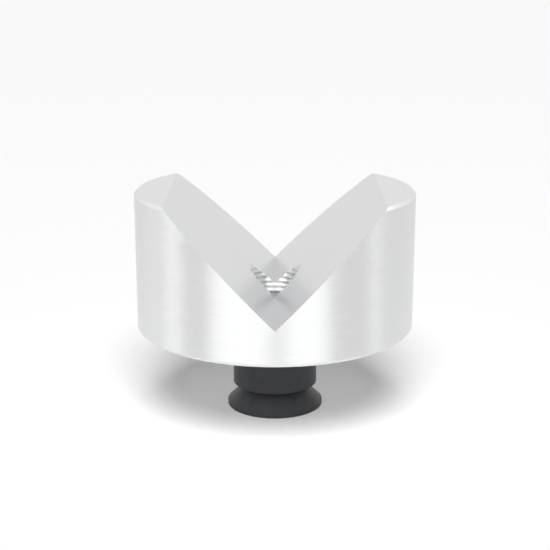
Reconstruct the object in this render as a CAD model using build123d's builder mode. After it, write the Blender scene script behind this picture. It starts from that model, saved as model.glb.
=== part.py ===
from build123d import *
import math
import os

# V block for a welding table: an aluminium disc with a V across its top, and a steel collar
# screwed into it from below. Millimetres, +Z up, the origin in the middle of the foot's underside.

# Table that the collar drops into
table_bore_d = 28.0
table_plate_t = 25.0

# Block
block_d = 80.0
block_h = 40.0
web_h = 10.0
v_angle = 90.0
rim_chamfer = 0.8
seat_chamfer = 1.0

# Thread that joins the two pieces, at its nominal size
thread_d = 16.0
thread_play = 0.1
thread_countersink = 0.75

# Collar
collar_gap = 0.5
shank_d = 24.5
shank_edge = 0.3
neck_d = 19.0
neck_land_h = 1.0
foot_play = 0.1
foot_edge = 0.15
foot_land_h = 1.05
foot_cone_angle = 45.0

# Stud on top of the collar
stud_recess = 2.5
stud_chamfer = 1.0
relief_d = 13.4
relief_h = 1.0

# Hexagon socket in the foot
socket_af = 10.0
socket_depth = 12.0
socket_mouth = 0.6
drill_point_angle = 118.0

# One overrun for every cut that runs out of the metal
overrun = 2.0

# Radii of the collar
foot_r = (table_bore_d - foot_play) / 2
shank_r = shank_d / 2
neck_r = neck_d / 2
relief_r = relief_d / 2
stud_r = (thread_d - thread_play) / 2

# Heights above the ground
foot_top_z = foot_edge + foot_land_h
cone_top_z = foot_top_z + (foot_r - neck_r) * math.tan(math.radians(foot_cone_angle))
shoulder_z = cone_top_z + neck_land_h
seat_z = table_plate_t - collar_gap
apex_z = seat_z + web_h
stud_top_z = apex_z - stud_recess
top_z = seat_z + block_h

os.makedirs("parts", exist_ok=True)

# Block: a disc sawn from bar and faced, with both rims chamfered in the lathe
with BuildPart() as v_block:
    with BuildSketch(Plane.XY.offset(seat_z)):
        Circle(block_d / 2)
    extrude(amount=block_h)
    chamfer(v_block.edges().group_by(Axis.Z)[-1], length=rim_chamfer)
    chamfer(v_block.edges().group_by(Axis.Z)[0], length=seat_chamfer)

    # The V is milled right across, and leaves the web under its sharp bottom
    cut_h = top_z - apex_z + overrun
    cut_half_w = cut_h * math.tan(math.radians(v_angle / 2))
    with BuildSketch(Plane.XZ):
        with BuildLine():
            Polyline(
                (0, apex_z),
                (cut_half_w, apex_z + cut_h),
                (-cut_half_w, apex_z + cut_h),
                close=True,
            )
        make_face()
    extrude(amount=block_d / 2 + overrun, both=True, mode=Mode.SUBTRACT)

    # Tapped hole on the axis, open into the V, countersunk where the stud enters
    with Locations(Plane.XY.offset(seat_z)):
        Hole(thread_d / 2)
    seat_circles = v_block.edges().filter_by(GeomType.CIRCLE).group_by(Axis.Z)[0]
    chamfer(seat_circles.sort_by(SortBy.RADIUS)[0], length=thread_countersink)

v_block.part.label = "v_block"

# Collar: one turning, drawn as its half section and spun about the axis
with BuildPart() as collar:
    with BuildSketch(Plane.XZ):
        with BuildLine():
            Polyline(
                (0, 0),
                (foot_r - foot_edge, 0),
                (foot_r, foot_edge),
                (foot_r, foot_top_z),
                (neck_r, cone_top_z),
                (neck_r, shoulder_z),
                (shank_r - shank_edge, shoulder_z),
                (shank_r, shoulder_z + shank_edge),
                (shank_r, seat_z),
                (relief_r, seat_z),
                (relief_r, seat_z + relief_h),
                (stud_r, seat_z + relief_h + stud_r - relief_r),
                (stud_r, stud_top_z - stud_chamfer),
                (stud_r - stud_chamfer, stud_top_z),
                (0, stud_top_z),
                close=True,
            )
        make_face()
    revolve(axis=Axis.Z)

    # Hexagon socket for the key that tightens the collar
    with BuildSketch(Plane.XY):
        RegularPolygon(socket_af / 2, 6, major_radius=False)
    extrude(amount=socket_depth, mode=Mode.SUBTRACT)

    # The pilot drill's point above the socket, and a cone that leads the key in
    drill_point_h = socket_af / 2 / math.tan(math.radians(drill_point_angle / 2))
    socket_corner_r = socket_af / 2 / math.cos(math.pi / 6)
    with BuildSketch(Plane.XZ):
        with BuildLine():
            Polyline(
                (0, 0),
                (socket_corner_r + socket_mouth, 0),
                (socket_corner_r, socket_mouth),
                (0, socket_mouth),
                close=True,
            )
        make_face()
        with BuildLine():
            Polyline(
                (0, socket_depth),
                (socket_af / 2, socket_depth),
                (0, socket_depth + drill_point_h),
                close=True,
            )
        make_face()
    revolve(axis=Axis.Z, mode=Mode.SUBTRACT)

collar.part.label = "collar"

export_step(v_block.part, "parts/v_block.step")
export_step(collar.part, "parts/collar.step")
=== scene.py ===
import bpy
import bmesh
import math
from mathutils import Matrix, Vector


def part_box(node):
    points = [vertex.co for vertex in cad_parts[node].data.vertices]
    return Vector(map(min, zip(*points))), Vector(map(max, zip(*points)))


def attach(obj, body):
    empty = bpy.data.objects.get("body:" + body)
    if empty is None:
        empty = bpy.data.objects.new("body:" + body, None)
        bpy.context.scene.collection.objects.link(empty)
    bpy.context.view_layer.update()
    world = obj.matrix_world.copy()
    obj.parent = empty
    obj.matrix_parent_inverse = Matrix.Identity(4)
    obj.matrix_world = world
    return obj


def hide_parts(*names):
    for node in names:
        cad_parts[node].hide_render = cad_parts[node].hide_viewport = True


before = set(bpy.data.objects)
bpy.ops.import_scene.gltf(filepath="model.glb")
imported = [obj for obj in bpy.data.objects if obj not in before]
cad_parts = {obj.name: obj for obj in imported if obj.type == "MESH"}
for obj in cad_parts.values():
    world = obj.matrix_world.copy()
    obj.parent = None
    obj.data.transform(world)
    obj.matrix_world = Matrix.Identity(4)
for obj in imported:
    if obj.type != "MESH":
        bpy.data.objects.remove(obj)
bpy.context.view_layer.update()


# V block
# One aluminium disc, turned on the outside with chamfered rims, with a right-angled V milled
# across its top and a thread tapped through the web that the V leaves.
block_low, block_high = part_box("v_block")
block_r = block_high.x
seat_z = block_low.z
top_z = block_high.z
web_h = 0.010
rim_chamfer = 0.0008
seat_chamfer = 0.0010
apex_z = seat_z + web_h
overrun = 0.002
thread_r = 0.008
thread_pitch = 0.0015
thread_depth = 5 / 8 * math.sqrt(3) / 2 * thread_pitch
thread_countersink = 0.00075
thread_start = 0.5


def place(name, metal, materials):
    """Turns the finished bmesh into an object with its materials."""
    bmesh.ops.recalc_face_normals(metal, faces=metal.faces)
    mesh = bpy.data.meshes.new(name)
    metal.to_mesh(mesh)
    metal.free()
    for material in materials:
        mesh.materials.append(material)
    piece = bpy.data.objects.new(name, mesh)
    bpy.context.scene.collection.objects.link(piece)
    return piece


def turning(name, section, finishes, materials, steps):
    """A half section of (radius, z) points spun about the Z axis, with a finish for each of its runs."""
    metal = bmesh.new()
    angles = [2 * math.pi * i / steps for i in range(steps)]
    rings = []
    for r, z in section:
        if r == 0:
            rings.append([metal.verts.new((0, 0, z))] * steps)
        else:
            rings.append([metal.verts.new((r * math.cos(a), r * math.sin(a), z)) for a in angles])
    for ring, following, finish in zip(rings, rings[1:], finishes):
        for i in range(steps):
            j = (i + 1) % steps
            face = metal.faces.new(dict.fromkeys([ring[i], ring[j], following[j], following[i]]))
            face.material_index = finish
    return place(name, metal, materials)


def bar(name, outline, near, far, material):
    """An outline drawn out from near to far, two functions that put an outline point in space."""
    metal = bmesh.new()
    ends = [[metal.verts.new(end(u, v)) for u, v in outline] for end in (near, far)]
    for end in ends:
        metal.faces.new(end)
    for i in range(len(outline)):
        j = (i + 1) % len(outline)
        metal.faces.new((ends[0][i], ends[0][j], ends[1][j], ends[1][i]))
    return place(name, metal, [material])


def screw(name, radius, low_z, turns, material, steps=120):
    """A closed right-handed screw of metric form: flat crests, 60 degree flanks and flat roots."""
    crest = 1 / 8
    flank = 5 / 16
    root = 1 / 4
    root_r = radius - thread_depth
    form = [(0, radius), (crest, radius), (crest + flank, root_r), (crest + flank + root, root_r)]
    metal = bmesh.new()
    rows = [(low_z + thread_pitch * (turn + share), r) for turn in range(turns + 1) for share, r in form]
    columns = []
    for i in range(steps):
        a = 2 * math.pi * i / steps
        rise = thread_pitch * i / steps
        columns.append([metal.verts.new((r * math.cos(a), r * math.sin(a), z + rise)) for z, r in rows])
    top = len(rows) - len(form)
    columns.append(columns[0][len(form):])
    for here, there in zip(columns, columns[1:]):
        for j in range(top - 1):
            metal.faces.new((here[j], there[j], there[j + 1], here[j + 1]))
    for row, z in ((0, low_z - thread_pitch), (top - 1, low_z + thread_pitch * (turns + 1))):
        middle = metal.verts.new((0, 0, z))
        loop = [column[row] for column in columns]
        loop += columns[0][row + len(form) - 1:row:-1]
        for a, b in zip(loop, loop[1:] + loop[:1]):
            metal.faces.new((a, b, middle))
    bmesh.ops.delete(metal, geom=[v for v in metal.verts if not v.link_faces], context="VERTS")
    return place(name, metal, [material])


def work(piece, tool, operation):
    """Cuts or joins piece with tool; what the tool leaves behind has the tool's finish."""
    step = piece.modifiers.new(tool.name, "BOOLEAN")
    step.operation = operation
    step.solver = "EXACT"
    step.material_mode = "TRANSFER"
    step.object = tool
    bpy.context.view_layer.update()
    worked = piece.evaluated_get(bpy.context.evaluated_depsgraph_get())
    piece.data = bpy.data.meshes.new_from_object(worked)
    piece.modifiers.clear()
    bpy.data.objects.remove(tool)


def smooth(piece, thread_finish=None):
    """Smooth shading that breaks at machined edges and changes of finish, but rounds a thread's form."""
    machined_edge = math.radians(25)
    thread_edge = math.radians(70)
    metal = bmesh.new()
    metal.from_mesh(piece.data)
    for face in metal.faces:
        face.smooth = True
    for edge in metal.edges:
        finishes = {piece.data.materials[face.material_index] for face in edge.link_faces}
        limit = thread_edge if finishes == {thread_finish} else machined_edge
        edge.smooth = len(edge.link_faces) == 2 and len(finishes) == 1 and edge.calc_face_angle() < limit
    metal.to_mesh(piece.data)
    metal.free()


def add(tree, kind, **settings):
    """A shader node with its settings."""
    made = tree.nodes.new("ShaderNode" + kind)
    for name, value in settings.items():
        setattr(made, name, value)
    return made


def sums(tree, operation, *terms):
    """A Math node on sockets and numbers."""
    made = add(tree, "Math", operation=operation)
    for socket, term in zip(made.inputs, terms):
        if isinstance(term, bpy.types.NodeSocket):
            tree.links.new(term, socket)
        else:
            socket.default_value = term
    return made.outputs[0]


def turning_marks():
    """Fine rings that a lathe tool leaves, each broken into streaks, on walls, cones and faces alike."""
    group = bpy.data.node_groups.new("turning_marks", "ShaderNodeTree")
    for name in ("Line Spacing", "Streak Length", "Seed"):
        group.interface.new_socket(name, in_out="INPUT", socket_type="NodeSocketFloat")
    group.interface.new_socket("Marks", in_out="OUTPUT", socket_type="NodeSocketFloat")
    given = group.nodes.new("NodeGroupInput").outputs
    place_on = add(group, "SeparateXYZ")
    group.links.new(add(group, "TexCoord").outputs["Object"], place_on.inputs[0])
    x, y, z = place_on.outputs
    x_squared = sums(group, "MULTIPLY", x, x)
    y_squared = sums(group, "MULTIPLY", y, y)
    radius = sums(group, "SQRT", sums(group, "ADD", x_squared, y_squared))
    across = sums(group, "DIVIDE", sums(group, "ADD", radius, z), given["Line Spacing"])
    at = add(group, "CombineXYZ")
    group.links.new(sums(group, "DIVIDE", x, given["Streak Length"]), at.inputs[0])
    group.links.new(sums(group, "DIVIDE", y, given["Streak Length"]), at.inputs[1])
    group.links.new(across, at.inputs[2])
    noise = add(group, "TexNoise", noise_dimensions="4D")
    noise.inputs["Scale"].default_value = 1
    noise.inputs["Detail"].default_value = 3
    noise.inputs["Roughness"].default_value = 0.6
    group.links.new(at.outputs[0], noise.inputs["Vector"])
    group.links.new(given["Seed"], noise.inputs["W"])
    group.links.new(noise.outputs["Fac"], group.nodes.new("NodeGroupOutput").inputs["Marks"])
    return group


marks_group = turning_marks()


def marks(tree, spacing, streak, seed):
    """The turning marks of one finish, with its own spacing and length of streak."""
    made = add(tree, "Group", node_tree=marks_group)
    made.inputs["Line Spacing"].default_value = spacing
    made.inputs["Streak Length"].default_value = streak
    made.inputs["Seed"].default_value = seed
    return made.outputs["Marks"]


def spread(tree, value, low, high):
    """Lets the marks' middle range swing a socket between low and high."""
    made = add(tree, "MapRange")
    made.inputs["From Min"].default_value = 0.3
    made.inputs["From Max"].default_value = 0.7
    made.inputs["To Min"].default_value = low
    made.inputs["To Max"].default_value = high
    tree.links.new(value, made.inputs["Value"])
    return made.outputs["Result"]


def tint(tree, value, low, high):
    """The same for a colour."""
    made = add(tree, "Mix", data_type="RGBA")
    tree.links.new(spread(tree, value, low=0, high=1), made.inputs["Factor"])
    made.inputs["A"].default_value = (*low, 1)
    made.inputs["B"].default_value = (*high, 1)
    return made.outputs["Result"]


def metal_finish(name, spacing, streak, seed, dull, bright, roughness, anisotropy=0.0):
    """A metallic material whose colour and roughness follow its turning marks.

    Grooves round the axis stretch its highlights up and down.
    """
    material = bpy.data.materials.new(name)
    material.use_nodes = True
    tree = material.node_tree
    shader = tree.nodes["Principled BSDF"]
    shader.inputs["Metallic"].default_value = 1
    shader.inputs["Anisotropic"].default_value = anisotropy
    if anisotropy:
        quarter_turn = 0.25
        shader.inputs["Anisotropic Rotation"].default_value = quarter_turn
        tangent = add(tree, "Tangent", direction_type="RADIAL", axis="Z")
        tree.links.new(tangent.outputs[0], shader.inputs["Tangent"])
    rings = marks(tree, spacing, streak, seed)
    tree.links.new(tint(tree, rings, dull, bright), shader.inputs["Base Color"])
    tree.links.new(spread(tree, rings, *roughness), shader.inputs["Roughness"])
    return material, tree, shader


def sway(tree, value, tilt):
    """Tilts the normal sideways, round the axis, by the marks."""
    sideways = add(tree, "VectorMath", operation="CROSS_PRODUCT")
    sideways.inputs[0].default_value = (0, 0, 1)
    geometry = add(tree, "NewGeometry")
    tree.links.new(geometry.outputs["Position"], sideways.inputs[1])
    unit = add(tree, "VectorMath", operation="NORMALIZE")
    tree.links.new(sideways.outputs[0], unit.inputs[0])
    pushed = add(tree, "VectorMath", operation="SCALE")
    tree.links.new(unit.outputs[0], pushed.inputs[0])
    tree.links.new(spread(tree, value, low=-tilt, high=tilt), pushed.inputs["Scale"])
    total = add(tree, "VectorMath", operation="ADD")
    tree.links.new(pushed.outputs[0], total.inputs[0])
    tree.links.new(geometry.outputs["Normal"], total.inputs[1])
    result = add(tree, "VectorMath", operation="NORMALIZE")
    tree.links.new(total.outputs[0], result.inputs[0])
    return result.outputs[0]


turned_aluminium, tree, shader = metal_finish(
    "turned_aluminium",
    spacing=0.00035,
    streak=0.012,
    seed=1,
    dull=(0.882, 0.886, 0.892),
    bright=(0.923, 0.926, 0.931),
    roughness=(0.45, 0.51),
    anisotropy=1.0,
)
waves = marks(tree, spacing=0.0005, streak=0.012, seed=2)
tree.links.new(sway(tree, waves, tilt=0.04), shader.inputs["Normal"])

grazing_tint = (0.86, 0.86, 0.86, 1)
faced_aluminium, tree, shader = metal_finish(
    "faced_aluminium",
    spacing=0.0003,
    streak=0.02,
    seed=3,
    dull=(0.825, 0.829, 0.835),
    bright=(0.865, 0.868, 0.873),
    roughness=(0.28, 0.34),
)
shader.inputs["Specular Tint"].default_value = grazing_tint

milled_aluminium, tree, shader = metal_finish(
    "milled_aluminium",
    spacing=0.0003,
    streak=0.02,
    seed=4,
    dull=(0.79, 0.794, 0.8),
    bright=(0.83, 0.833, 0.838),
    roughness=(0.28, 0.34),
)
shader.inputs["Specular Tint"].default_value = grazing_tint

tapped_aluminium, tree, shader = metal_finish(
    "tapped_aluminium",
    spacing=0.0001,
    streak=0.004,
    seed=5,
    dull=(0.88, 0.883, 0.887),
    bright=(0.92, 0.922, 0.925),
    roughness=(0.39, 0.45),
    anisotropy=1.0,
)

disc_section = [
    (0, seat_z),
    (block_r - seat_chamfer, seat_z),
    (block_r, seat_z + seat_chamfer),
    (block_r, top_z - rim_chamfer),
    (block_r - rim_chamfer, top_z),
    (0, top_z),
]
disc_materials = [turned_aluminium, faced_aluminium]
block = turning("v_block_machined", disc_section, [1, 1, 0, 1, 1], disc_materials, steps=240)

v_h = top_z - apex_z + overrun
v_y = block_r + overrun
v_outline = [(0, apex_z), (v_h, apex_z + v_h), (-v_h, apex_z + v_h)]
v_cutter = bar(
    "v_cutter",
    v_outline,
    lambda x, z: (x, -v_y, z),
    lambda x, z: (x, v_y, z),
    milled_aluminium,
)
work(block, v_cutter, "DIFFERENCE")

sink_r = thread_r + thread_countersink
sink_section = [
    (0, seat_z - overrun),
    (sink_r + overrun, seat_z - overrun),
    (sink_r - overrun, seat_z + overrun),
    (0, seat_z + overrun),
]
work(block, turning("countersink", sink_section, [0] * 3, [tapped_aluminium], steps=120), "DIFFERENCE")
turns_below_seat = 3
tap_z = seat_z - turns_below_seat * thread_pitch + thread_start * thread_pitch
tap_turns = math.ceil((top_z - tap_z) / thread_pitch)
work(block, screw("tap", thread_r, tap_z, tap_turns, tapped_aluminium), "DIFFERENCE")
smooth(block, tapped_aluminium)
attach(block, "root")
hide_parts("v_block")


# Collar
# One steel turning, black oxidised: a conical foot that guides it in the table's bore, an undercut
# neck, a plain shank that the block sits on, and a threaded stud screwed tight into the block,
# its end faced bright after the blackening.
collar_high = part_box("collar")[1]
foot_r = collar_high.x
stud_top_z = collar_high.z
shank_r = 0.01225
shank_edge = 0.0003
neck_r = 0.0095
neck_land_h = 0.001
foot_edge = 0.00015
foot_top_z = 0.0012
cone_top_z = foot_top_z + foot_r - neck_r
shoulder_z = cone_top_z + neck_land_h
relief_r = 0.0067
relief_h = 0.001
stud_chamfer = 0.001
stud_play = 0.00005
stud_r = thread_r - stud_play
socket_half_af = 0.005
socket_corner_r = socket_half_af / math.cos(math.pi / 6)
socket_depth = 0.012
socket_mouth = 0.0006
drill_point_half = math.radians(59)
drill_point_h = socket_half_af / math.tan(drill_point_half)

black_steel, tree, shader = metal_finish(
    "black_oxide_steel",
    spacing=0.0003,
    streak=0.006,
    seed=6,
    dull=(0.06, 0.061, 0.064),
    bright=(0.078, 0.079, 0.082),
    roughness=(0.5, 0.58),
    anisotropy=0.8,
)
faced_steel, tree, shader = metal_finish(
    "faced_steel",
    spacing=0.0003,
    streak=0.006,
    seed=7,
    dull=(0.4, 0.402, 0.406),
    bright=(0.46, 0.462, 0.466),
    roughness=(0.3, 0.36),
    anisotropy=0.8,
)

collar_section = [
    (0, 0),
    (foot_r - foot_edge, 0),
    (foot_r, foot_edge),
    (foot_r, foot_top_z),
    (neck_r, cone_top_z),
    (neck_r, shoulder_z),
    (shank_r - shank_edge, shoulder_z),
    (shank_r, shoulder_z + shank_edge),
    (shank_r, seat_z),
    (0, seat_z),
]
collar = turning("collar_turned", collar_section, [0] * 9, [black_steel], steps=160)

stud_section = [
    (0, seat_z - overrun),
    (relief_r, seat_z - overrun),
    (relief_r, seat_z + relief_h),
    (stud_r, seat_z + relief_h + stud_r - relief_r),
    (stud_r, stud_top_z - stud_chamfer),
    (stud_r - stud_chamfer, stud_top_z),
    (0, stud_top_z),
]
stud = turning("stud", stud_section, [0, 0, 0, 0, 1, 1], [black_steel, faced_steel], steps=120)
work(stud, screw("die", stud_r, tap_z, tap_turns, black_steel), "INTERSECT")
work(collar, stud, "UNION")

corners = [math.radians(60 * i) for i in range(6)]
hexagon = [(socket_corner_r * math.cos(a), socket_corner_r * math.sin(a)) for a in corners]
socket = bar(
    "key_socket",
    hexagon,
    lambda x, y: (x, y, -overrun),
    lambda x, y: (x, y, socket_depth),
    black_steel,
)
work(collar, socket, "DIFFERENCE")
mouth_section = [
    (0, -overrun),
    (socket_corner_r + socket_mouth + overrun, -overrun),
    (socket_corner_r, socket_mouth),
    (0, socket_mouth),
]
work(collar, turning("socket_mouth", mouth_section, [0] * 3, [black_steel], steps=96), "DIFFERENCE")
point_section = [
    (0, socket_depth - overrun),
    (socket_half_af, socket_depth - overrun),
    (socket_half_af, socket_depth),
    (0, socket_depth + drill_point_h),
]
work(collar, turning("drill_point", point_section, [0] * 3, [black_steel], steps=96), "DIFFERENCE")
smooth(collar)
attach(collar, "root")
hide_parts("collar")


# Floor
# A seamless pale table top; it keeps a soft grey shadow, and its colour is painted a little darker with
# distance from the block, a painted falloff of light.
floor_half = 6.0
floor_painted_falloff_reach = 0.4
floor_glow = 0.285
floor_white = 0.7
floor_far_painted_shade = 0.945

floor_metal = bmesh.new()
floor_corners = [(-1, -1), (1, -1), (1, 1), (-1, 1)]
floor_metal.faces.new([floor_metal.verts.new((x * floor_half, y * floor_half, 0)) for x, y in floor_corners])
floor_paint = bpy.data.materials.new("pale_floor")
floor_paint.use_nodes = True
floor_paint.cycles.emission_sampling = "NONE"
tree = floor_paint.node_tree
shader = tree.nodes["Principled BSDF"]
shader.inputs["Roughness"].default_value = 1
shader.inputs["Specular IOR Level"].default_value = 0
shader.inputs["Emission Strength"].default_value = floor_glow
# Painted shade: the floor's colour and glow darken with distance from the block, standing in for light
# falling off.
reach = add(tree, "VectorMath", operation="LENGTH")
tree.links.new(add(tree, "TexCoord").outputs["Object"], reach.inputs[0])
lessening = sums(tree, "EXPONENT", sums(tree, "DIVIDE", reach.outputs["Value"], -floor_painted_falloff_reach))
fade = sums(tree, "SUBTRACT", 1, lessening)
pale = add(tree, "Mix", data_type="RGBA")
tree.links.new(fade, pale.inputs["Factor"])
pale.inputs["A"].default_value = (1, 1, 1, 1)
pale.inputs["B"].default_value = (floor_far_painted_shade, floor_far_painted_shade, floor_far_painted_shade, 1)
tree.links.new(pale.outputs["Result"], shader.inputs["Emission Color"])
lit = add(tree, "VectorMath", operation="SCALE")
tree.links.new(pale.outputs["Result"], lit.inputs[0])
lit.inputs["Scale"].default_value = floor_white
tree.links.new(lit.outputs[0], shader.inputs["Base Color"])
floor = place("floor", floor_metal, [floor_paint])


# Studio light
# A broad soft key from the front that throws the shadow back, panels on both sides that the
# turned wall mirrors as upright bands, and pale surroundings on every side.
def softbox(name, azimuth, elevation, width, height, power):
    """A rectangular panel that faces the block and is seen in its metal alone."""
    distance = 1.0
    data = bpy.data.lights.new(name, "AREA")
    data.shape = "RECTANGLE"
    data.size = width
    data.size_y = height
    data.energy = power
    lamp = bpy.data.objects.new(name, data)
    bpy.context.scene.collection.objects.link(lamp)
    a = math.radians(azimuth)
    e = math.radians(elevation)
    away = Vector((math.sin(a) * math.cos(e), -math.cos(a) * math.cos(e), math.sin(e)))
    lamp.location = away * distance
    lamp.rotation_mode = "QUATERNION"
    lamp.rotation_quaternion = away.to_track_quat("Z", "Y")
    lamp.visible_camera = False
    lamp.visible_diffuse = False


key_data = bpy.data.lights.new("key", "SUN")
key_data.energy = 3.83
key_data.angle = math.radians(35)
key = bpy.data.objects.new("key", key_data)
bpy.context.scene.collection.objects.link(key)
key.rotation_euler = (math.radians(33), 0, 0)
key.visible_glossy = False
softbox("front_left_panel", azimuth=-31, elevation=45, width=0.77, height=0.6, power=3.85)
softbox("front_right_panel", azimuth=29, elevation=45, width=0.56, height=0.6, power=2.85)
softbox("left_panel", azimuth=-88, elevation=14, width=0.34, height=0.4, power=0.5)
softbox("left_back_panel", azimuth=-113, elevation=14, width=0.4, height=0.4, power=0.14)
softbox("right_panel", azimuth=86, elevation=14, width=0.14, height=0.4, power=0.18)
softbox("right_back_panel", azimuth=116, elevation=43, width=0.14, height=0.16, power=0.12)

horizon_white = 0.91
zenith_white = 1.0
world = bpy.data.worlds.new("surroundings")
bpy.context.scene.world = world
world.use_nodes = True
world.cycles.sampling_method = "NONE"
tree = world.node_tree
path = add(tree, "LightPath").outputs
seen = sums(tree, "MAXIMUM", path["Is Camera Ray"], path["Is Glossy Ray"])
seen = sums(tree, "MAXIMUM", seen, path["Is Transmission Ray"])
up = add(tree, "SeparateXYZ")
tree.links.new(add(tree, "TexCoord").outputs["Generated"], up.inputs[0])
sky = add(tree, "Mix", data_type="RGBA")
tree.links.new(sums(tree, "MAXIMUM", up.outputs[2], 0), sky.inputs["Factor"])
sky.inputs["A"].default_value = (horizon_white, horizon_white, horizon_white, 1)
sky.inputs["B"].default_value = (zenith_white, zenith_white, zenith_white, 1)
tree.links.new(sky.outputs["Result"], tree.nodes["Background"].inputs["Color"])
tree.links.new(seen, tree.nodes["Background"].inputs["Strength"])


# Camera
# It looks along the V from the front, slightly from above.
camera_elevation = math.radians(15.011)
camera_distance = 0.3476
aim_over_seat = 0.01458
camera_data = bpy.data.cameras.new("camera")
camera_data.sensor_width = 36
camera_data.lens = 78.34
camera = bpy.data.objects.new("camera", camera_data)
bpy.context.scene.collection.objects.link(camera)
aim = Vector((0, 0, seat_z + aim_over_seat))
away = Vector((0, -math.cos(camera_elevation), math.sin(camera_elevation)))
camera.location = aim + away * camera_distance
camera.rotation_mode = "QUATERNION"
camera.rotation_quaternion = away.to_track_quat("Z", "Y")
bpy.context.scene.camera = camera
bpy.context.scene.view_settings.view_transform = "Standard"
